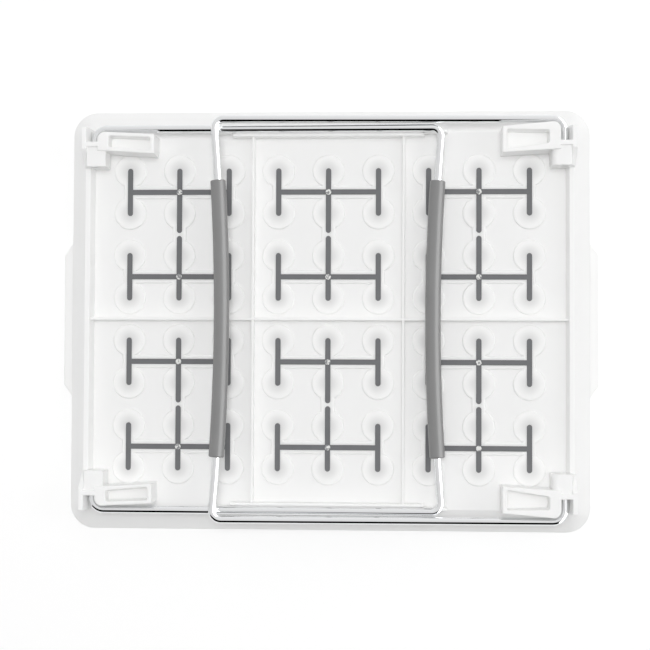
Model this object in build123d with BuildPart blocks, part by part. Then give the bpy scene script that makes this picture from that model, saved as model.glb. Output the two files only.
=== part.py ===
from build123d import *
from math import asin, cos, degrees, radians, sin, tan
import os

# Bed tray with two folding wire legs, lying face down on its lip with both legs folded flat.
# Millimetres. +Z is up, out of the tray's underside. X runs along the tray's length.
# The origin is the centre of the lip's rest plane.

# Lip and dish. The eating face looks down, at the bottom of the dish.
LIP_LENGTH = 401.4
LIP_WIDTH = 324.2
LIP_CORNER_R = 19.0
LIP_EDGE_H = 3.0
LIP_FLAT = 2.4
LIP_ROUND = 0.6
LIP_SHOULDER_R = 2.0
DISH_DEPTH = 12.0
PLATE_T = 3.0
END_SLOPE_RUN = 14.1
SIDE_SLOPE_RUN = 17.7
DISH_FLOOR_INSET = 1.0
DISH_FLOOR_R = 5.0

# Hand ears, one on each short side.
EAR_REACH = 6.4
EAR_ROOT_WIDTH = 119.0
EAR_TIP_WIDTH = 100.6
EAR_T = 2.4
EAR_TIP_R = 3.0
EAR_ROUND = 0.7

# Skirt round the underside, and the ribs inside it.
SKIRT_H = 10.5
SIDE_WALL_T = 2.3
END_WALL_T = 4.3
END_WALL_DRAFT = 1.5
CENTRE_BAY_LENGTH = 141.7
CENTRE_BAY_STEP = 2.7
SKIRT_CORNER_R = 6.0
SKIRT_ROUND = 0.7
RIB_H = 8.0
RIB_T = 2.0
RIB_ROUND = 0.6

# Non-slip inserts: three across, four down, six dots each.
DOT_PITCH_X = 38.3
DOT_PITCH_Y = 32.6
DOTS_PER_INSERT = 3
PANELS = 3
DOT_D = 17.0
DOT_PROUD = 0.5
DOT_ROUND = 0.4
DOT_SUNK = 1.0
DOT_STEM_D = 3.6
RUNNER_W = 4.0
RUNNER_DEPTH = 1.4
RUNNER_GAP = 2.3
GATE_D = 2.2
GATE_H = 0.3
LAND_D = 24.8
LAND_H = 1.2
LAND_ROUND = 1.1
BAR_LAND_W = 10.0
ARM_LAND_W = 10.6

# Leg wire and its grips.
WIRE_D = 6.0
WIRE_BEND_R = 9.0
WIRE_CORNER_R = 7.0
WIRE_END_CHAMFER = 0.5
BAR_BOW_DEG = 5.0
GRIP_D = 11.7
GRIP_END_R = 1.2
GRIP_LENGTH = 209.0
BAR_SETBACK = 92.3
ARM_OUTBOARD = 6.7

# Where the legs pivot and how they stack.
PIVOT_INBOARD = 8.5
UPPER_LEG_TILT = 1.5

# Corner brackets.
BRACKET_TOP = 38.5
PIN_WALL_INBOARD = 10.5
PIN_WALL_T = 3.8
PIN_END_SETBACK = 1.5
BOSS_LENGTH = 14.7
BOSS_CAP_T = 4.2
BOSS_INBOARD = 9.5
BOSS_ROUND_R = 5.0
STOP_LEAN_DEG = 12.0
STOP_TOP_T = 3.6
STOP_END = 0.8
RAMP_RUN = 13.4
RAMP_TO_WALL = 1.6
CAM_LENGTH = 43.5
CAM_INBOARD = 2.8
CAM_INNER_TAPER = 2.6
CAM_NOSE_T = 8.6
CAM_TAIL_T = 3.2
CAM_TAIL_WALL_T = 2.4
UPPER_CAM_TAPER = 3.2
UPPER_CAM_OUTER_T = 6.3
UPPER_CAM_INNER_T = 4.6
LOWER_CAM_TAPER = 2.0
LOWER_CAM_OUTER_T = 3.0
LOWER_CAM_INNER_T = 2.6
CAM_POCKET_DEPTH = 10.0
CAM_POCKET_DRAFT_DEG = 5.0
CAM_POCKET_R = 1.5
BRACKET_ROUND = 0.7

# Clearances.
PIN_CLEARANCE = 0.05
GRIP_CLEARANCE = 0.03
NEST_CLEARANCE = 0.3
CAM_CLEARANCE = 0.3
STOP_CLEARANCE = 0.35
GRIP_OVER_RIB = 0.35

# Heights above the lip's rest plane.
plate_top = DISH_DEPTH + PLATE_T
skirt_top = plate_top + SKIRT_H
rib_top = plate_top + RIB_H
land_top = plate_top + LAND_H
pivot_z = rib_top + GRIP_OVER_RIB + GRIP_D / 2

# Half sizes in plan.
skirt_x = LIP_LENGTH / 2 - END_SLOPE_RUN
skirt_y = LIP_WIDTH / 2 - SIDE_SLOPE_RUN
pivot_x = skirt_x - PIVOT_INBOARD
wire_r = WIRE_D / 2
upper_arm_y = skirt_y + ARM_OUTBOARD
lower_arm_y = upper_arm_y - WIRE_D - NEST_CLEARANCE
leg_reach = 2 * pivot_x - BAR_SETBACK
wall_y = skirt_y - PIN_WALL_INBOARD
wall_inner_y = wall_y - PIN_WALL_T
boss_end_y = wall_inner_y - BOSS_LENGTH
pin_end_y = boss_end_y + PIN_END_SETBACK
bend_x = pivot_x - WIRE_BEND_R
stop_x = pivot_x + wire_r + STOP_CLEARANCE
stop_top_x = stop_x + (BRACKET_TOP - pivot_z) * tan(radians(STOP_LEAN_DEG))
boss_top = pivot_z + wire_r + BOSS_CAP_T
boss_stop_x = stop_x + (boss_top - pivot_z) * tan(radians(STOP_LEAN_DEG))
rib_root = plate_top - PLATE_T / 2
panel_pitch = DOTS_PER_INSERT * DOT_PITCH_X
insert_pitch = 2 * DOT_PITCH_Y

# Tray body: lip, sloping sides and plate, hollowed from below by the dish.
with BuildPart() as dish:
    with BuildSketch():
        RectangleRounded(LIP_LENGTH, LIP_WIDTH, LIP_CORNER_R)
    extrude(amount=LIP_EDGE_H)
    with BuildSketch(Plane.XY.offset(LIP_EDGE_H)):
        RectangleRounded(LIP_LENGTH, LIP_WIDTH, LIP_CORNER_R)
    with BuildSketch(Plane.XY.offset(plate_top)):
        RectangleRounded(2 * skirt_x, 2 * skirt_y, SKIRT_CORNER_R)
    loft(ruled=True)
    shoulder = dish.edges().filter_by_position(Axis.Z, LIP_EDGE_H - 0.01, LIP_EDGE_H + 0.01)
    fillet(shoulder, LIP_SHOULDER_R)
    with BuildSketch():
        RectangleRounded(
            LIP_LENGTH - 2 * (LIP_FLAT + LIP_ROUND),
            LIP_WIDTH - 2 * (LIP_FLAT + LIP_ROUND),
            LIP_CORNER_R - LIP_FLAT - LIP_ROUND,
        )
    with BuildSketch(Plane.XY.offset(DISH_DEPTH)):
        RectangleRounded(
            2 * (skirt_x - DISH_FLOOR_INSET),
            2 * (skirt_y - DISH_FLOOR_INSET),
            DISH_FLOOR_R,
        )
    loft(ruled=True, mode=Mode.SUBTRACT)
    fillet(dish.faces().sort_by(Axis.Z)[0].outer_wire().edges(), LIP_ROUND)

# One hand ear, for the +X side.
with BuildPart() as ear:
    with BuildSketch() as ear_plan:
        with BuildLine():
            Polyline(
                (LIP_LENGTH / 2 - LIP_FLAT, -EAR_ROOT_WIDTH / 2),
                (LIP_LENGTH / 2, -EAR_ROOT_WIDTH / 2),
                (LIP_LENGTH / 2 + EAR_REACH, -EAR_TIP_WIDTH / 2),
                (LIP_LENGTH / 2 + EAR_REACH, EAR_TIP_WIDTH / 2),
                (LIP_LENGTH / 2, EAR_ROOT_WIDTH / 2),
                (LIP_LENGTH / 2 - LIP_FLAT, EAR_ROOT_WIDTH / 2),
                close=True,
            )
        make_face()
        fillet(ear_plan.vertices().group_by(Axis.X)[-1], EAR_TIP_R)
    extrude(amount=EAR_T)
    ear_rims = ear.faces().filter_by(Axis.Z).edges()
    fillet(ear_rims.filter_by_position(Axis.X, LIP_LENGTH / 2, LIP_LENGTH), EAR_ROUND)


def corner_bracket(arm_y, cam_taper, cam_outer_t, cam_inner_t):
    """Bracket for the +X +Y corner: leg stop, pin wall and boss, and the pocketed cam.

    The taper is that of the cam's outer face. The two thicknesses are those of its long walls,
    outer and inner, at its nose.
    """
    bend_y = arm_y - WIRE_BEND_R
    nose_r = WIRE_BEND_R - wire_r - CAM_CLEARANCE
    nose_x = bend_x + nose_r
    nose_outer_y = bend_y + nose_r
    nose_inner_y = wall_inner_y - CAM_INBOARD
    tail_x = nose_x - CAM_LENGTH
    tail_outer_y = nose_outer_y - cam_taper
    tail_inner_y = nose_inner_y - CAM_INNER_TAPER
    stop_end_y = skirt_y + STOP_END
    ramp_top_y = wall_inner_y - RAMP_TO_WALL
    ramp_foot_y = ramp_top_y - RAMP_RUN
    with BuildPart() as bracket:
        # Leg stop: the end wall carried up, its inner face leaning outwards.
        with BuildSketch(Plane.XZ.offset(-stop_end_y)):
            with BuildLine():
                Polyline(
                    (stop_x, rib_root),
                    (skirt_x, rib_root),
                    (skirt_x, skirt_top),
                    (stop_top_x + STOP_TOP_T, BRACKET_TOP),
                    (stop_top_x, BRACKET_TOP),
                    (stop_x, pivot_z),
                    close=True,
                )
            make_face()
        extrude(amount=stop_end_y - ramp_foot_y)
        # Ramp that brings the stop down to the skirt.
        with BuildSketch(Plane.YZ.offset(stop_x)):
            with BuildLine():
                Polyline(
                    (ramp_foot_y, skirt_top),
                    (ramp_top_y, BRACKET_TOP),
                    (ramp_foot_y, BRACKET_TOP),
                    close=True,
                )
            make_face()
        extrude(amount=EAR_REACH, mode=Mode.SUBTRACT)
        # Pin wall across the corner, from the cam's nose to the leg stop.
        with BuildSketch(Plane.XZ.offset(-wall_y)):
            with BuildLine():
                Polyline(
                    (bend_x, rib_root),
                    (skirt_x, rib_root),
                    (skirt_x, skirt_top),
                    (stop_top_x + STOP_TOP_T, BRACKET_TOP),
                    (bend_x, BRACKET_TOP),
                    close=True,
                )
            make_face()
        extrude(amount=PIN_WALL_T)
        # Boss that carries the pin, reaching out to the leaning stop.
        with BuildSketch(Plane.XZ.offset(-wall_inner_y)) as boss_end:
            with BuildLine():
                Polyline(
                    (pivot_x - BOSS_INBOARD, rib_root),
                    (skirt_x, rib_root),
                    (skirt_x, skirt_top),
                    (boss_stop_x, boss_top),
                    (pivot_x - BOSS_INBOARD, boss_top),
                    close=True,
                )
            make_face()
            crown = boss_end.vertices().group_by(Axis.Z)[-1].sort_by(Axis.X)[0]
            fillet(crown, BOSS_ROUND_R)
        extrude(amount=BOSS_LENGTH)
        # Cam: a pocketed box whose round nose sits inside the wire's bend.
        with BuildSketch(Plane.XY.offset(rib_root)):
            with BuildLine():
                nose = CenterArc((bend_x, bend_y), nose_r, 0, 90)
                Polyline(
                    nose @ 1,
                    (tail_x, tail_outer_y),
                    (tail_x, tail_inner_y),
                    (nose_x, nose_inner_y),
                    nose @ 0,
                )
            make_face()
        extrude(amount=BRACKET_TOP - rib_root)
        with BuildSketch(Plane.XY.offset(BRACKET_TOP)) as pocket:
            with BuildLine():
                Polyline(
                    (nose_x - CAM_NOSE_T, nose_outer_y - cam_outer_t),
                    (tail_x + CAM_TAIL_T, tail_outer_y - CAM_TAIL_WALL_T),
                    (tail_x + CAM_TAIL_T, tail_inner_y + CAM_TAIL_WALL_T),
                    (nose_x - CAM_NOSE_T, nose_inner_y + cam_inner_t),
                    close=True,
                )
            make_face()
            fillet(pocket.vertices(), CAM_POCKET_R)
        extrude(amount=-CAM_POCKET_DEPTH, taper=CAM_POCKET_DRAFT_DEG, mode=Mode.SUBTRACT)
        fillet(bracket.faces().sort_by(Axis.Z)[-1].edges(), BRACKET_ROUND)
    return bracket.part


upper_bracket = corner_bracket(upper_arm_y, UPPER_CAM_TAPER, UPPER_CAM_OUTER_T, UPPER_CAM_INNER_T)
lower_bracket = corner_bracket(lower_arm_y, LOWER_CAM_TAPER, LOWER_CAM_OUTER_T, LOWER_CAM_INNER_T)

# Inserts stand in pairs, one above the other, with their long arms towards each other.
pair_places = GridLocations(panel_pitch, 2 * insert_pitch, PANELS, 2).locations
insert_places = []
for pair_place in pair_places:
    insert_places.append(pair_place * Location((0, insert_pitch / 2, 0)))
    insert_places.append(pair_place * Location((0, -insert_pitch / 2, 0), (0, 0, 180)))

insert_arm = insert_pitch / 2 - RUNNER_GAP / 2 - RUNNER_W / 2


def runner_plan(width):
    """Adds one insert's runners, as wide as given, to the sketch in hand."""
    Rectangle((DOTS_PER_INSERT - 1) * DOT_PITCH_X, width)
    with GridLocations(DOT_PITCH_X, DOT_PITCH_Y, DOTS_PER_INSERT, 1):
        SlotCenterToCenter(DOT_PITCH_Y, width, rotation=90)
    with Locations((0, -insert_arm / 2)):
        SlotCenterToCenter(insert_arm, width, rotation=90)


# One insert, for a place at the origin, with its long arm towards -Y.
with BuildPart() as insert:
    with BuildSketch(Plane.XY.offset(land_top - RUNNER_DEPTH)):
        runner_plan(RUNNER_W)
    extrude(amount=RUNNER_DEPTH)
    with BuildSketch(Plane.XY.offset(DISH_DEPTH - DOT_PROUD)):
        with GridLocations(DOT_PITCH_X, DOT_PITCH_Y, DOTS_PER_INSERT, 2):
            Circle(DOT_D / 2)
    extrude(amount=DOT_PROUD + DOT_SUNK)
    dot_rims = insert.faces().sort_by(Axis.Z)[0:6].edges()
    fillet(dot_rims, DOT_ROUND)
    with BuildSketch(Plane.XY.offset(DISH_DEPTH)):
        with GridLocations(DOT_PITCH_X, DOT_PITCH_Y, DOTS_PER_INSERT, 2):
            Circle(DOT_STEM_D / 2)
    extrude(amount=land_top - RUNNER_DEPTH - DISH_DEPTH)
    with BuildSketch(Plane.XY.offset(land_top - GATE_H)):
        Circle(GATE_D / 2)
    extrude(amount=2 * GATE_H)

# The raised land round the runners and stems of one pair of inserts.
with BuildPart() as land:
    with BuildSketch(Plane.XY.offset(rib_root)) as land_plan:
        with GridLocations(DOT_PITCH_X, insert_pitch, 1, 2):
            Rectangle((DOTS_PER_INSERT - 1) * DOT_PITCH_X, BAR_LAND_W)
        with GridLocations(DOT_PITCH_X, insert_pitch, DOTS_PER_INSERT, 2):
            Rectangle(BAR_LAND_W, DOT_PITCH_Y)
        with GridLocations(DOT_PITCH_X, DOT_PITCH_Y, DOTS_PER_INSERT, 4):
            Circle(LAND_D / 2)
        Rectangle(ARM_LAND_W, insert_pitch)
    extrude(amount=PLATE_T / 2 + LAND_H)
    fillet(land.faces().sort_by(Axis.Z)[-1].edges(), LAND_ROUND)

# Skirt: the long walls step in along the centre bay.
with BuildPart() as skirt:
    with BuildSketch(Plane.XY.offset(rib_root)):
        RectangleRounded(2 * skirt_x, 2 * skirt_y, SKIRT_CORNER_R)
        Rectangle(2 * (skirt_x - SIDE_WALL_T), 2 * (skirt_y - SIDE_WALL_T), mode=Mode.SUBTRACT)
        for side in (1, -1):
            with Locations((0, side * (skirt_y - CENTRE_BAY_STEP / 2))):
                Rectangle(CENTRE_BAY_LENGTH, CENTRE_BAY_STEP, mode=Mode.SUBTRACT)
            with Locations((0, side * (skirt_y - CENTRE_BAY_STEP - SIDE_WALL_T / 2))):
                Rectangle(CENTRE_BAY_LENGTH + 2 * SIDE_WALL_T, SIDE_WALL_T)
    extrude(amount=PLATE_T / 2 + SKIRT_H)
    # Drafted inner faces of the end walls.
    for side in (1, -1):
        with BuildSketch(Plane.XZ):
            with BuildLine():
                Polyline(
                    (side * skirt_x, rib_root),
                    (side * skirt_x, skirt_top),
                    (side * (skirt_x - END_WALL_T), skirt_top),
                    (side * (skirt_x - END_WALL_T - END_WALL_DRAFT), plate_top),
                    (side * (skirt_x - END_WALL_T - END_WALL_DRAFT), rib_root),
                    close=True,
                )
            make_face()
        extrude(amount=skirt_y - SIDE_WALL_T, both=True)
    # Open corners, where the wire comes out of its wall.
    with BuildSketch(Plane.XY.offset(plate_top)):
        with GridLocations(2 * skirt_x + WIRE_BEND_R, 2 * wall_y + LIP_WIDTH / 2, 2, 2):
            Rectangle(LIP_LENGTH / 2, LIP_WIDTH / 2)
    extrude(amount=SKIRT_H, mode=Mode.SUBTRACT)
    fillet(skirt.faces().filter_by(Axis.Z).group_by(Axis.Z)[-1].edges(), SKIRT_ROUND)

# Ribs: one along the tray and one between each two panels, their ends inside the skirt.
with BuildPart() as ribs:
    with BuildSketch(Plane.XY.offset(rib_root)):
        Rectangle(2 * (skirt_x - END_WALL_T), RIB_T)
        with GridLocations(panel_pitch, 1, PANELS - 1, 1):
            Rectangle(RIB_T, 2 * (skirt_y - CENTRE_BAY_STEP - SIDE_WALL_T / 2))
    extrude(amount=PLATE_T / 2 + RIB_H)
    fillet(ribs.faces().sort_by(Axis.Z)[-1].edges(), RIB_ROUND)

# The tray itself.
with BuildPart() as tray_shell:
    add(dish.part)
    add(ear.part)
    add(mirror(ear.part, Plane.YZ))
    add(skirt.part)
    add(upper_bracket)
    add(mirror(upper_bracket, Plane.XZ))
    add(mirror(lower_bracket, Plane.YZ))
    add(mirror(mirror(lower_bracket, Plane.YZ), Plane.XZ))
    add(ribs.part)
    # Lands, and the channels that the inserts fill.
    for place in pair_places:
        add(land.part.moved(place))
    for place in insert_places:
        add(insert.part.moved(place), mode=Mode.SUBTRACT)
    # Bores for the legs' pins.
    with BuildSketch(Plane.XZ):
        with Locations((pivot_x, pivot_z), (-pivot_x, pivot_z)):
            Circle(wire_r + PIN_CLEARANCE)
    extrude(amount=wall_y, both=True, mode=Mode.SUBTRACT)

tray_shell.part.label = "tray_shell"


def folded_leg_plane(side, tilt):
    """Plane of a folded leg: x from the pivot to the foot bar, y along the tray's Y."""
    reach_dir = Vector(-side * cos(radians(tilt)), 0, sin(radians(tilt)))
    normal = reach_dir.cross(Vector(0, 1, 0))
    return Plane(origin=(side * pivot_x, 0, pivot_z), x_dir=reach_dir, z_dir=normal)


def bow_radius(arm_y):
    """Radius of the foot bar's bow between its two corners."""
    return (arm_y - WIRE_CORNER_R) / sin(radians(BAR_BOW_DEG)) - WIRE_CORNER_R


def leg_wire(arm_y):
    """One leg, bent from a single wire: pin, arm, bowed foot bar, arm, pin."""
    arm_run = leg_reach - WIRE_BEND_R - WIRE_CORNER_R
    pin_run = arm_y - WIRE_BEND_R - pin_end_y
    corner_turn = 90 + BAR_BOW_DEG
    with BuildPart() as leg:
        with BuildLine() as route:
            first_pin = Line((0, pin_end_y), (0, pin_end_y + pin_run))
            first_bend = JernArc(first_pin @ 1, first_pin % 1, WIRE_BEND_R, -90)
            first_arm = Line(first_bend @ 1, first_bend @ 1 + (first_bend % 1) * arm_run)
            first_corner = JernArc(first_arm @ 1, first_arm % 1, WIRE_CORNER_R, -corner_turn)
            bar = JernArc(first_corner @ 1, first_corner % 1, bow_radius(arm_y), 2 * BAR_BOW_DEG)
            last_corner = JernArc(bar @ 1, bar % 1, WIRE_CORNER_R, -corner_turn)
            last_arm = Line(last_corner @ 1, last_corner @ 1 + (last_corner % 1) * arm_run)
            last_bend = JernArc(last_arm @ 1, last_arm % 1, WIRE_BEND_R, -90)
            Line(last_bend @ 1, last_bend @ 1 + (last_bend % 1) * pin_run)
        with BuildSketch(Plane(origin=first_pin @ 0, z_dir=first_pin % 0)):
            Circle(wire_r)
        sweep(path=route.wire())
        pin_tips = leg.faces().filter_by(Axis.Y).edges()
        chamfer(pin_tips, WIRE_END_CHAMFER)
    return leg.part


def leg_grip(arm_y):
    """Soft sleeve pushed over the middle of a foot bar."""
    bow_r = bow_radius(arm_y)
    half_angle = degrees(asin(GRIP_LENGTH / 2 / bow_r))
    corner_out = WIRE_CORNER_R * cos(radians(BAR_BOW_DEG))
    bar_end_x = leg_reach - WIRE_CORNER_R + corner_out
    bow_centre_x = bar_end_x + bow_r * cos(radians(BAR_BOW_DEG))
    with BuildPart() as grip:
        with BuildLine():
            bar_arc = CenterArc((bow_centre_x, 0), bow_r, 180 - half_angle, 2 * half_angle)
        with BuildSketch(Plane(origin=bar_arc @ 0, z_dir=bar_arc % 0)):
            Circle(GRIP_D / 2)
            Circle(wire_r + GRIP_CLEARANCE, mode=Mode.SUBTRACT)
        sweep()
        end_faces = grip.faces().filter_by(GeomType.PLANE)
        fillet([face.outer_wire().edge() for face in end_faces], GRIP_END_R)
    return grip.part


upper_place = folded_leg_plane(1, UPPER_LEG_TILT).location
lower_place = folded_leg_plane(-1, 0).location
upper_leg_wire = leg_wire(upper_arm_y).moved(upper_place)
lower_leg_wire = leg_wire(lower_arm_y).moved(lower_place)
upper_leg_grip = leg_grip(upper_arm_y).moved(upper_place)
lower_leg_grip = leg_grip(lower_arm_y).moved(lower_place)
upper_leg_wire.label = "upper_leg_wire"
lower_leg_wire.label = "lower_leg_wire"
upper_leg_grip.label = "upper_leg_grip"
lower_leg_grip.label = "lower_leg_grip"

os.makedirs("parts", exist_ok=True)
export_step(tray_shell.part, "parts/tray_shell.step")
export_step(upper_leg_wire, "parts/upper_leg_wire.step")
export_step(lower_leg_wire, "parts/lower_leg_wire.step")
export_step(upper_leg_grip, "parts/upper_leg_grip.step")
export_step(lower_leg_grip, "parts/lower_leg_grip.step")
for number, place in enumerate(insert_places, start=1):
    placed_insert = insert.part.moved(place)
    placed_insert.label = f"non_slip_insert_{number:02d}"
    export_step(placed_insert, f"parts/{placed_insert.label}.step")
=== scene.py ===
import math

import bpy
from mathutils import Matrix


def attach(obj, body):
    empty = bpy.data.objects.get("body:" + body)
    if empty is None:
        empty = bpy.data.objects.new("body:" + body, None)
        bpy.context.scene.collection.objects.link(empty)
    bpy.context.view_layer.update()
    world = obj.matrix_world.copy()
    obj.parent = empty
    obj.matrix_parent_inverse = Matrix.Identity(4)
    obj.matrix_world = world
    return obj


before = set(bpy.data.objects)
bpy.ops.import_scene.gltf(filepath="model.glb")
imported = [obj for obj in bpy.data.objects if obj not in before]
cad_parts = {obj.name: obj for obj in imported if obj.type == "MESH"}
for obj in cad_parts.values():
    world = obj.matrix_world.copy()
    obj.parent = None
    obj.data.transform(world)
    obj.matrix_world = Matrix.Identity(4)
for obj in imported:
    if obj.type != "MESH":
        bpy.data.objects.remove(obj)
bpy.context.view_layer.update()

# Tray shell: one injection moulding of white polypropylene, lip, plate, ribs, skirt and corner
# brackets in one shot. It has the satin of a lightly sparked tool, softened edges, faint rub marks
# from stacking, and the waxy look of a plastic that light enters by a few millimetres.
MM = 0.001
TRAY_WHITE = "FBFBFA"
TRAY_WHITE_SHADE = "F8F8F7"
TRAY_EDGE_R = 0.4 * MM
TRAY_EDGE_SAMPLES = 6
TRAY_ROUGHNESS = (0.34, 0.46)
SPARK_GRAIN = 0.35 * MM
SPARK_DEPTH = 0.004 * MM
SPARK_STRENGTH = 0.4
FLOW_CLOUD = 70 * MM
RUB_SPACING = 9 * MM
RUB_RANGE = (0.35, 0.65)
DOT_PITCH = (38.3 * MM, 32.6 * MM)
GRID_SHIFT = (0.5, 0.0, 0.0)
DOT_SHADE = "E2E2E2"
DOT_SHADE_R = (3.0 * MM, 11.0 * MM)
DOT_SHADE_DEPTH = 0.8
DOT_FIELD_HALF = 132 * MM
PLATE_LEVEL = 15.5 * MM
PLATE_BAND = 0.8 * MM
POLYPROPYLENE_IOR = 1.49
POLYPROPYLENE_SCATTER = 0.7
SCATTER_DEPTH = 3.0 * MM


def srgb(hex_colour):
    """Linear colour of an sRGB hex value, with full alpha."""
    channels = [int(hex_colour[i:i + 2], 16) / 255 for i in (0, 2, 4)]
    linear = [c / 12.92 if c <= 0.04045 else ((c + 0.055) / 1.055) ** 2.4 for c in channels]
    return (*linear, 1.0)


def add_node(material, kind, inputs, **settings):
    """Adds a node to a material or world, with its property settings and its values or links."""
    added = material.node_tree.nodes.new(kind)
    for name, value in settings.items():
        setattr(added, name, value)
    for name, value in inputs.items():
        if isinstance(value, bpy.types.NodeSocket):
            material.node_tree.links.new(value, added.inputs[name])
        else:
            added.inputs[name].default_value = value
    return added


def new_material(name):
    """An empty node material, and the socket of its object coordinates."""
    material = bpy.data.materials.new(name)
    material.use_nodes = True
    material.node_tree.nodes.clear()
    place = add_node(material, "ShaderNodeTexCoord", {}).outputs["Object"]
    return material, place


def dress(node_name, material):
    """Gives one CAD node its material."""
    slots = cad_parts[node_name].data.materials
    slots.clear()
    slots.append(material)


polypropylene, place = new_material("moulded_polypropylene_white")
cloud = add_node(polypropylene, "ShaderNodeTexNoise", {
    "Vector": place, "Scale": 1 / FLOW_CLOUD, "Detail": 2.0})
white = add_node(polypropylene, "ShaderNodeMix", {
    "Factor": cloud.outputs["Fac"], "A": srgb(TRAY_WHITE), "B": srgb(TRAY_WHITE_SHADE)},
    data_type="RGBA")
# The rubber dots on the far side of the plate show through it as soft grey clouds.
grid = add_node(polypropylene, "ShaderNodeVectorMath", {
    0: place, 1: (1 / DOT_PITCH[0], 1 / DOT_PITCH[1], 0.0), 2: GRID_SHIFT},
    operation="MULTIPLY_ADD")
cell = add_node(polypropylene, "ShaderNodeVectorMath", {
    0: grid.outputs["Vector"]}, operation="FRACTION")
from_dot = add_node(polypropylene, "ShaderNodeVectorMath", {
    0: cell.outputs["Vector"], 1: (0.5, 0.5, 0.0)}, operation="SUBTRACT")
flat = add_node(polypropylene, "ShaderNodeVectorMath", {
    0: from_dot.outputs["Vector"], 1: (*DOT_PITCH, 0.0)}, operation="MULTIPLY")
distance = add_node(polypropylene, "ShaderNodeVectorMath", {
    0: flat.outputs["Vector"]}, operation="LENGTH")
cloudy = add_node(polypropylene, "ShaderNodeMapRange", {
    "Value": distance.outputs["Value"], "From Min": DOT_SHADE_R[0], "From Max": DOT_SHADE_R[1],
    "To Min": DOT_SHADE_DEPTH, "To Max": 0.0}, interpolation_type="SMOOTHSTEP")
height = add_node(polypropylene, "ShaderNodeSeparateXYZ", {"Vector": place})
on_plate = add_node(polypropylene, "ShaderNodeMath", {
    0: height.outputs["Z"], 1: PLATE_LEVEL, 2: PLATE_BAND}, operation="COMPARE")
in_field = add_node(polypropylene, "ShaderNodeMath", {
    0: height.outputs["Y"], 1: 0.0, 2: DOT_FIELD_HALF}, operation="COMPARE")
masked = add_node(polypropylene, "ShaderNodeMath", {
    0: on_plate.outputs[0], 1: in_field.outputs[0]}, operation="MULTIPLY")
shade = add_node(polypropylene, "ShaderNodeMath", {
    0: cloudy.outputs["Result"], 1: masked.outputs[0]}, operation="MULTIPLY")
tinted = add_node(polypropylene, "ShaderNodeMix", {
    "Factor": shade.outputs[0], "A": white.outputs["Result"], "B": srgb(DOT_SHADE)},
    data_type="RGBA")
# The real spark grain is about 0.1 mm. It is drawn coarser, so that it shows.
grain = add_node(polypropylene, "ShaderNodeTexNoise", {
    "Vector": place, "Scale": 1 / SPARK_GRAIN, "Detail": 1.0})
rub = add_node(polypropylene, "ShaderNodeTexNoise", {
    "Vector": place, "Scale": 1 / RUB_SPACING, "Detail": 5.0, "Roughness": 0.6})
satin = add_node(polypropylene, "ShaderNodeMapRange", {
    "Value": rub.outputs["Fac"], "From Min": RUB_RANGE[0], "From Max": RUB_RANGE[1],
    "To Min": TRAY_ROUGHNESS[0], "To Max": TRAY_ROUGHNESS[1]})
soft_edge = add_node(polypropylene, "ShaderNodeBevel", {
    "Radius": TRAY_EDGE_R}, samples=TRAY_EDGE_SAMPLES)
spark = add_node(polypropylene, "ShaderNodeBump", {
    "Height": grain.outputs["Fac"], "Distance": SPARK_DEPTH, "Strength": SPARK_STRENGTH,
    "Normal": soft_edge.outputs["Normal"]})
shell = add_node(polypropylene, "ShaderNodeBsdfPrincipled", {
    "Base Color": tinted.outputs["Result"], "Roughness": satin.outputs["Result"],
    "Normal": spark.outputs["Normal"], "IOR": POLYPROPYLENE_IOR,
    "Subsurface Weight": POLYPROPYLENE_SCATTER, "Subsurface Radius": (1.0, 1.0, 1.0),
    "Subsurface Scale": SCATTER_DEPTH})
add_node(polypropylene, "ShaderNodeOutputMaterial", {"Surface": shell.outputs["BSDF"]})
dress("tray_shell", polypropylene)

# Non-slip inserts: thermoplastic rubber, shot through the plate in a second step. On the underside
# each shows as its runner, with the gate's nub at the crossing; on the eating face as six dots.
RUBBER_GREY = "68696B"
RUBBER_GREY_LIGHT = "717274"
RUBBER_SKIN = 0.5 * MM
RUBBER_SKIN_DEPTH = 0.01 * MM
RUBBER_SKIN_STRENGTH = 0.6
RUBBER_MOTTLE = 7 * MM
RUBBER_ROUGHNESS = 0.62

rubber, place = new_material("overmoulded_thermoplastic_rubber_grey")
mottle = add_node(rubber, "ShaderNodeTexNoise", {
    "Vector": place, "Scale": 1 / RUBBER_MOTTLE, "Detail": 3.0})
grey = add_node(rubber, "ShaderNodeMix", {
    "Factor": mottle.outputs["Fac"], "A": srgb(RUBBER_GREY), "B": srgb(RUBBER_GREY_LIGHT)},
    data_type="RGBA")
# A moulded rubber skin is finer than this. It is drawn coarser, so that it dulls the surface.
skin = add_node(rubber, "ShaderNodeTexNoise", {
    "Vector": place, "Scale": 1 / RUBBER_SKIN, "Detail": 2.0})
dull = add_node(rubber, "ShaderNodeBump", {
    "Height": skin.outputs["Fac"], "Distance": RUBBER_SKIN_DEPTH, "Strength": RUBBER_SKIN_STRENGTH})
insert_skin = add_node(rubber, "ShaderNodeBsdfPrincipled", {
    "Base Color": grey.outputs["Result"], "Roughness": RUBBER_ROUGHNESS,
    "Normal": dull.outputs["Normal"]})
add_node(rubber, "ShaderNodeOutputMaterial", {"Surface": insert_skin.outputs["BSDF"]})
for node_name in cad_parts:
    if node_name.startswith("non_slip_insert"):
        dress(node_name, rubber)

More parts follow.
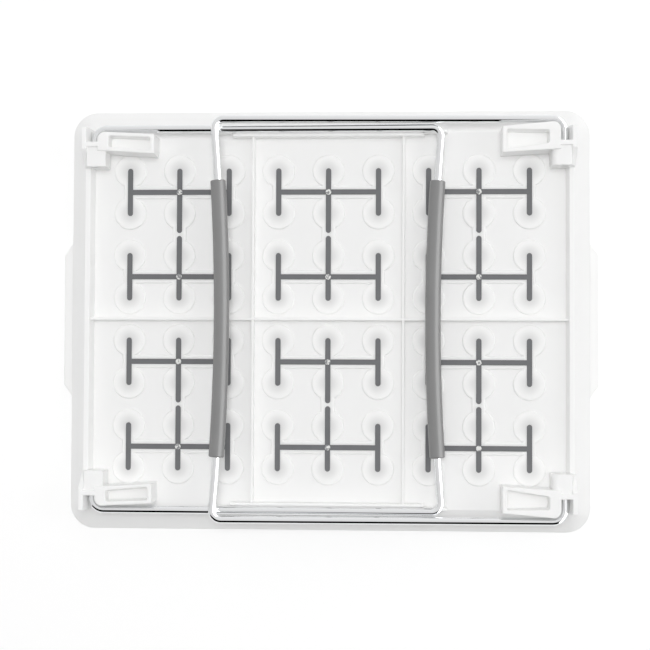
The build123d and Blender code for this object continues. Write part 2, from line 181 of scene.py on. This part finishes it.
# Torn gates: where the rubber was shot in, a stub stands in a small crater at each crossing of the
# runners.
# Its top face is painted pale in patches: a painted highlight, standing for the glint on the stub's
# tip.
# Each is made from a disc: a rim, a dished floor and the stub torn off short.
GATE_RIM_R = 2.0 * MM
GATE_RIM_W = 0.35 * MM
GATE_RIM_H = 0.35 * MM
GATE_DISH = 0.2 * MM
GATE_FLOOR_W = 0.5 * MM
GATE_STUB_H = 0.45 * MM
GATE_STUB_EDGE = 0.3 * MM
GATE_SEGMENTS = 20
GATE_SMOOTH_DEG = 40
FACES_UP = 0.9
GATE_GRID = (3 * DOT_PITCH[0], 2 * DOT_PITCH[1])
GATE_COLUMNS = (-1, 0, 1)
GATE_ROWS = (-1.5, -0.5, 0.5, 1.5)
RUNNER_TOP = 16.2 * MM
# Painted highlight: this pale colour on the stub's top face stands in for its glint.
GLINT_WHITE = "E6E6E4"
TORN_GREY = "8A8B8D"
TORN_SPOT = 1.6 * MM
TORN_RANGE = (0.40, 0.52)
TORN_STRENGTH = 0.8
TORN_ROUGHNESS = 0.3

# The stub's top: torn rubber grey with a painted highlight in pale patches.
torn, place = new_material("torn_rubber_painted_glint")
patches = add_node(torn, "ShaderNodeTexNoise", {
    "Vector": place, "Scale": 1 / TORN_SPOT, "Detail": 2.0})
# Where the painted highlight lies on the stub's top.
glint_patches = add_node(torn, "ShaderNodeMapRange", {
    "Value": patches.outputs["Fac"], "From Min": TORN_RANGE[0], "From Max": TORN_RANGE[1]},
    interpolation_type="SMOOTHSTEP")
painted_glint = add_node(torn, "ShaderNodeMix", {
    "Factor": glint_patches.outputs["Result"], "A": srgb(TORN_GREY), "B": srgb(GLINT_WHITE)},
    data_type="RGBA")
tear = add_node(torn, "ShaderNodeBump", {
    "Height": patches.outputs["Fac"], "Distance": RUBBER_SKIN_DEPTH, "Strength": TORN_STRENGTH})
stub_skin = add_node(torn, "ShaderNodeBsdfPrincipled", {
    "Base Color": painted_glint.outputs["Result"], "Roughness": TORN_ROUGHNESS,
    "Normal": tear.outputs["Normal"]})
add_node(torn, "ShaderNodeOutputMaterial", {"Surface": stub_skin.outputs["BSDF"]})


def torn_gate(name, x, y):
    """One torn gate, standing on the runners where they cross."""
    bpy.ops.object.select_all(action="DESELECT")
    bpy.ops.mesh.primitive_cylinder_add(
        vertices=GATE_SEGMENTS, radius=GATE_RIM_R, depth=GATE_RIM_H,
        location=(x, y, RUNNER_TOP + GATE_RIM_H / 2))
    gate = bpy.context.object
    gate.name = name
    bpy.ops.object.transform_apply(location=True)
    gate.data.materials.append(rubber)
    gate.data.materials.append(torn)
    for face in gate.data.polygons:
        face.select = face.normal.z > FACES_UP
    bpy.ops.object.mode_set(mode="EDIT")
    bpy.ops.mesh.inset(thickness=GATE_RIM_W)
    bpy.ops.transform.translate(value=(0, 0, -GATE_DISH))
    bpy.ops.mesh.inset(thickness=GATE_FLOOR_W)
    bpy.ops.mesh.extrude_region_move(TRANSFORM_OT_translate={"value": (0, 0, GATE_STUB_H)})
    bpy.ops.mesh.inset(thickness=GATE_STUB_EDGE, depth=GATE_STUB_EDGE / 2)
    # The stub's top face takes the painted highlight.
    gate.active_material_index = 1
    bpy.ops.object.material_slot_assign()
    bpy.ops.object.mode_set(mode="OBJECT")
    bpy.ops.object.shade_smooth_by_angle(angle=math.radians(GATE_SMOOTH_DEG))
    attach(gate, "tray")


number = 0
for column in GATE_COLUMNS:
    for row in GATE_ROWS:
        number += 1
        torn_gate(f"torn_gate_{number:02d}", column * GATE_GRID[0], row * GATE_GRID[1])

# Leg wires: 6 mm round mild steel, cold bent and bright chrome plated after bending. The plate is
# mirror smooth, with only the slow ripple that the drawn wire leaves under it.
CHROME = "EDEEEF"
CHROME_ROUGHNESS = 0.03
DRAW_RIPPLE = 12 * MM
DRAW_RIPPLE_DEPTH = 0.008 * MM
DRAW_RIPPLE_STRENGTH = 0.5

chrome, place = new_material("chrome_plated_steel_wire")
ripple = add_node(chrome, "ShaderNodeTexNoise", {
    "Vector": place, "Scale": 1 / DRAW_RIPPLE, "Detail": 1.0})
drawn = add_node(chrome, "ShaderNodeBump", {
    "Height": ripple.outputs["Fac"], "Distance": DRAW_RIPPLE_DEPTH,
    "Strength": DRAW_RIPPLE_STRENGTH})
plate = add_node(chrome, "ShaderNodeBsdfPrincipled", {
    "Base Color": srgb(CHROME), "Metallic": 1.0, "Roughness": CHROME_ROUGHNESS,
    "Normal": drawn.outputs["Normal"]})
add_node(chrome, "ShaderNodeOutputMaterial", {"Surface": plate.outputs["BSDF"]})
dress("upper_leg_wire", chrome)
dress("lower_leg_wire", chrome)

# Foot grips: soft grey vinyl tube, extruded, cut to length and pushed over the foot bars. Extruding
# leaves faint lines along the tube, and its skin has a low, broad shine.
VINYL_GREY = "828282"
VINYL_GREY_DARK = "7B7B7B"
VINYL_ROUGHNESS = 0.36
VINYL_SPECULAR = 0.9
VINYL_LINE = 1.2 * MM
VINYL_LINE_DEPTH = 0.01 * MM
VINYL_LINE_STRENGTH = 0.5
VINYL_LINE_STRETCH = (1.0, 0.03, 1.0)
VINYL_CLOUD = 18 * MM

vinyl, place = new_material("extruded_soft_vinyl_grey")
along_bar = add_node(vinyl, "ShaderNodeMapping", {"Vector": place, "Scale": VINYL_LINE_STRETCH})
cloud = add_node(vinyl, "ShaderNodeTexNoise", {
    "Vector": place, "Scale": 1 / VINYL_CLOUD, "Detail": 2.0})
grey = add_node(vinyl, "ShaderNodeMix", {
    "Factor": cloud.outputs["Fac"], "A": srgb(VINYL_GREY), "B": srgb(VINYL_GREY_DARK)},
    data_type="RGBA")
# Die lines are about 0.2 mm apart. They are drawn wider, so that they show along the bar.
lines = add_node(vinyl, "ShaderNodeTexNoise", {
    "Vector": along_bar.outputs["Vector"], "Scale": 1 / VINYL_LINE, "Detail": 2.0})
extruded = add_node(vinyl, "ShaderNodeBump", {
    "Height": lines.outputs["Fac"], "Distance": VINYL_LINE_DEPTH, "Strength": VINYL_LINE_STRENGTH})
tube = add_node(vinyl, "ShaderNodeBsdfPrincipled", {
    "Base Color": grey.outputs["Result"], "Roughness": VINYL_ROUGHNESS,
    "Specular IOR Level": VINYL_SPECULAR, "Normal": extruded.outputs["Normal"]})
add_node(vinyl, "ShaderNodeOutputMaterial", {"Surface": tube.outputs["BSDF"]})
dress("upper_leg_grip", vinyl)
dress("lower_leg_grip", vinyl)

# Floor: a white studio sweep under the tray. It shows white to the camera and in reflections, and
# keeps the tray's shadow. Past the tray it is lifted further, where the lamp no longer reaches.
FLOOR_SIZE = 4.0
FLOOR_WHITE = "F8F8F8"
FLOOR_LIFT = 0.115
FLOOR_LIFT_FAR = 0.42
FLOOR_NEAR = 0.35
FLOOR_FAR = 1.30

bpy.ops.object.select_all(action="DESELECT")
bpy.ops.mesh.primitive_plane_add(size=FLOOR_SIZE, location=(0, 0, 0))
floor = bpy.context.object
floor.name = "floor"
sweep, place = new_material("white_paper_sweep")
rays = add_node(sweep, "ShaderNodeLightPath", {})
seen = add_node(sweep, "ShaderNodeMath", {
    0: rays.outputs["Is Camera Ray"], 1: rays.outputs["Is Glossy Ray"]}, operation="MAXIMUM")
from_tray = add_node(sweep, "ShaderNodeVectorMath", {0: place}, operation="LENGTH")
lifted = add_node(sweep, "ShaderNodeMapRange", {
    "Value": from_tray.outputs["Value"], "From Min": FLOOR_NEAR, "From Max": FLOOR_FAR,
    "To Min": FLOOR_LIFT, "To Max": FLOOR_LIFT_FAR})
lift = add_node(sweep, "ShaderNodeMath", {
    0: seen.outputs[0], 1: lifted.outputs[0]}, operation="MULTIPLY")
paper = add_node(sweep, "ShaderNodeBsdfDiffuse", {"Color": srgb(FLOOR_WHITE)})
glow = add_node(sweep, "ShaderNodeEmission", {"Strength": lift.outputs[0]})
both = add_node(sweep, "ShaderNodeAddShader", {0: paper.outputs[0], 1: glow.outputs[0]})
add_node(sweep, "ShaderNodeOutputMaterial", {"Surface": both.outputs[0]})
floor.data.materials.append(sweep)

# Studio light: a white tent that fills evenly, with a soft lamp nearly overhead and a weak one on
# the right. Only reflections see its bright box on the right and the black card in front, which
# give the chrome its white line and its thin dark edge.
TENT_FILL = 0.55
FILL_TO_RIGHT = 0.04
FILL_TO_BACK = 0.28
TENT_SHOWN = 0.82
TENT_TO_RIGHT = 0.12
TENT_TO_BACK = 0.15
# The card's and the box's limits are parts of the sky direction: LOW and HIGH of its Z, FROM of the
# side that they stand on.
CARD_LOW = 0.02
CARD_HIGH = 0.85
CARD_SOFTNESS = 0.06
CARD_FROM = 0.45
BOX_LOW = 0.10
BOX_HIGH = 0.84
BOX_FROM = 0.50
BOX_ADDS = 2.6
TOP_LAMP = ("top_lamp", (0.05, 0.20, 2.40), 0.75, 22.5)
SIDE_LAMP = ("side_lamp", (1.22, 0.17, 1.19), 0.8, 1.8)

world = bpy.data.worlds.new("studio_tent")
bpy.context.scene.world = world
world.use_nodes = True
world.node_tree.nodes.clear()
rays = add_node(world, "ShaderNodeLightPath", {})
sky = add_node(world, "ShaderNodeTexCoord", {})
towards = add_node(world, "ShaderNodeSeparateXYZ", {"Vector": sky.outputs["Generated"]})
slope = add_node(world, "ShaderNodeVectorMath", {
    0: sky.outputs["Generated"], 1: (TENT_TO_RIGHT, TENT_TO_BACK, 0.0)}, operation="DOT_PRODUCT")
level = add_node(world, "ShaderNodeMath", {0: slope.outputs["Value"], 1: 1.0}, operation="ADD")
tent = add_node(world, "ShaderNodeMath", {0: level.outputs[0], 1: TENT_SHOWN}, operation="MULTIPLY")
above = add_node(world, "ShaderNodeMapRange", {
    "Value": towards.outputs["Z"], "From Min": CARD_LOW - CARD_SOFTNESS, "From Max": CARD_LOW},
    interpolation_type="SMOOTHSTEP")
below = add_node(world, "ShaderNodeMapRange", {
    "Value": towards.outputs["Z"], "From Min": CARD_HIGH, "From Max": CARD_HIGH + CARD_SOFTNESS,
    "To Min": 1.0, "To Max": 0.0}, interpolation_type="SMOOTHSTEP")
front = add_node(world, "ShaderNodeMapRange", {
    "Value": towards.outputs["Y"],
    "From Min": CARD_SOFTNESS - CARD_FROM, "From Max": -CARD_FROM},
    interpolation_type="SMOOTHSTEP")
band = add_node(world, "ShaderNodeMath", {
    0: above.outputs[0], 1: below.outputs[0]}, operation="MULTIPLY")
card = add_node(world, "ShaderNodeMath", {
    0: band.outputs[0], 1: front.outputs[0]}, operation="MULTIPLY")
uncovered = add_node(world, "ShaderNodeMath", {0: 1.0, 1: card.outputs[0]}, operation="SUBTRACT")
around = add_node(world, "ShaderNodeMath", {
    0: tent.outputs[0], 1: uncovered.outputs[0]}, operation="MULTIPLY")
box_above = add_node(world, "ShaderNodeMapRange", {
    "Value": towards.outputs["Z"], "From Min": BOX_LOW - CARD_SOFTNESS, "From Max": BOX_LOW},
    interpolation_type="SMOOTHSTEP")
box_below = add_node(world, "ShaderNodeMapRange", {
    "Value": towards.outputs["Z"], "From Min": BOX_HIGH, "From Max": BOX_HIGH + CARD_SOFTNESS,
    "To Min": BOX_ADDS, "To Max": 0.0}, interpolation_type="SMOOTHSTEP")
right = add_node(world, "ShaderNodeMapRange", {
    "Value": towards.outputs["X"],
    "From Min": BOX_FROM - CARD_SOFTNESS, "From Max": BOX_FROM},
    interpolation_type="SMOOTHSTEP")
box_band = add_node(world, "ShaderNodeMath", {
    0: box_above.outputs[0], 1: box_below.outputs[0]}, operation="MULTIPLY")
box = add_node(world, "ShaderNodeMath", {
    0: box_band.outputs[0], 1: right.outputs[0]}, operation="MULTIPLY")
mirrored = add_node(world, "ShaderNodeMath", {
    0: around.outputs[0], 1: box.outputs[0]}, operation="ADD")
fill_slope = add_node(world, "ShaderNodeVectorMath", {
    0: sky.outputs["Generated"], 1: (FILL_TO_RIGHT, FILL_TO_BACK, 0.0)}, operation="DOT_PRODUCT")
fill_level = add_node(world, "ShaderNodeMath", {
    0: fill_slope.outputs["Value"], 1: 1.0}, operation="ADD")
fill = add_node(world, "ShaderNodeMath", {
    0: fill_level.outputs[0], 1: TENT_FILL}, operation="MULTIPLY")
filling = add_node(world, "ShaderNodeBackground", {"Strength": fill.outputs[0]})
reflected = add_node(world, "ShaderNodeBackground", {"Strength": mirrored.outputs[0]})
backdrop = add_node(world, "ShaderNodeBackground", {"Strength": 1.0})
for background in (filling, reflected, backdrop):
    background.inputs["Color"].default_value = (1.0, 1.0, 1.0, 1.0)
lit = add_node(world, "ShaderNodeMixShader", {
    0: rays.outputs["Is Glossy Ray"], 1: filling.outputs[0], 2: reflected.outputs[0]})
shown = add_node(world, "ShaderNodeMixShader", {
    0: rays.outputs["Is Camera Ray"], 1: lit.outputs[0], 2: backdrop.outputs[0]})
add_node(world, "ShaderNodeOutputWorld", {"Surface": shown.outputs[0]})

for name, lamp_place, lamp_size, lamp_watts in (TOP_LAMP, SIDE_LAMP):
    bpy.ops.object.light_add(type="AREA", location=lamp_place)
    lamp = bpy.context.object
    lamp.name = name
    lamp.data.energy = lamp_watts
    lamp.data.size = lamp_size
    lamp.visible_glossy = False
    aim = -lamp.location
    lamp.rotation_euler = aim.to_track_quat("-Z", "Y").to_euler()

# Camera: nearly straight above, a touch from the front and the right.
CAMERA_PLACE = (54.53 * MM, -37.52 * MM, 1098.02 * MM)
CAMERA_TURN = (1.771, 2.998, 0.243)
CAMERA_LENS = 78.47

bpy.ops.object.camera_add(location=CAMERA_PLACE, rotation=[math.radians(a) for a in CAMERA_TURN])
camera = bpy.context.object
camera.data.lens = CAMERA_LENS
bpy.context.scene.camera = camera
bpy.context.scene.view_settings.view_transform = "Standard"
